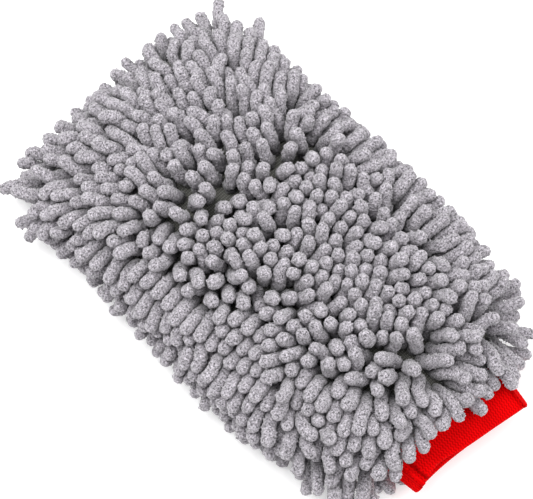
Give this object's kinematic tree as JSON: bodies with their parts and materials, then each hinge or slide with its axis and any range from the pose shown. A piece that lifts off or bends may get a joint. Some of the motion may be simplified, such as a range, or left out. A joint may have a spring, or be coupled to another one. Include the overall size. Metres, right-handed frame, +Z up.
{
  "type": "wash mitt",
  "caption": "Double-sided chenille wash mitt with a hollow hand pocket, smooth lining and a flexing rib-knit wrist cuff.",
  "frame": {"origin": "on the resting plane, under the middle of the mitt's box", "axes": "+Z up from the resting plane; +Y along the mitt from the cuff to the closed finger end; +X across it"},
  "size_m": [0.1778, 0.3026, 0.0642],
  "materials": {
    "chenille": "fuzzy chenille pile",
    "backing_knit": "fine mesh knit",
    "lining": "smooth tricot",
    "seam_thread": "overlock thread",
    "rib_knit": "rib knit",
    "cuff_thread": "overlock thread"
  },
  "bodies": {
    "mitt": {"upper_backing": "backing_knit", "lower_backing": "backing_knit", "upper_lining": "lining", "lower_lining": "lining", "side_seam_thread": "seam_thread", "cuff_seam_thread": "cuff_thread", "upper_yarn_row_01": "chenille", "upper_yarn_row_02": "chenille", "upper_yarn_row_03": "chenille", "upper_yarn_row_04": "chenille", "upper_yarn_row_05": "chenille", "upper_yarn_row_06": "chenille", "upper_yarn_row_07": "chenille", "upper_yarn_row_08": "chenille", "upper_yarn_row_09": "chenille", "upper_yarn_row_10": "chenille", "upper_yarn_row_11": "chenille", "upper_yarn_row_12": "chenille", "upper_yarn_row_13": "chenille", "upper_yarn_row_14": "chenille", "upper_yarn_row_15": "chenille", "upper_yarn_row_16": "chenille", "upper_yarn_row_17": "chenille", "lower_yarn_row_01": "chenille", "lower_yarn_row_02": "chenille", "lower_yarn_row_03": "chenille", "lower_yarn_row_04": "chenille", "lower_yarn_row_05": "chenille", "lower_yarn_row_06": "chenille", "lower_yarn_row_07": "chenille", "lower_yarn_row_08": "chenille", "lower_yarn_row_09": "chenille", "lower_yarn_row_10": "chenille", "lower_yarn_row_11": "chenille", "lower_yarn_row_12": "chenille", "lower_yarn_row_13": "chenille", "lower_yarn_row_14": "chenille", "lower_yarn_row_15": "chenille", "lower_yarn_row_16": "chenille", "lower_yarn_row_17": "chenille"},
    "cuff": {"cuff_rib_knit": "rib_knit", "cuff_side_seam_thread": "cuff_thread"}
  },
  "joints": [
    {"name": "cuff_flex", "type": "hinge", "parent": "mitt", "child": "cuff", "pos_m": [0, -0.118, 0.024], "axis": [-1, 0, 0], "range_deg": [-12, 38]}
  ]
}
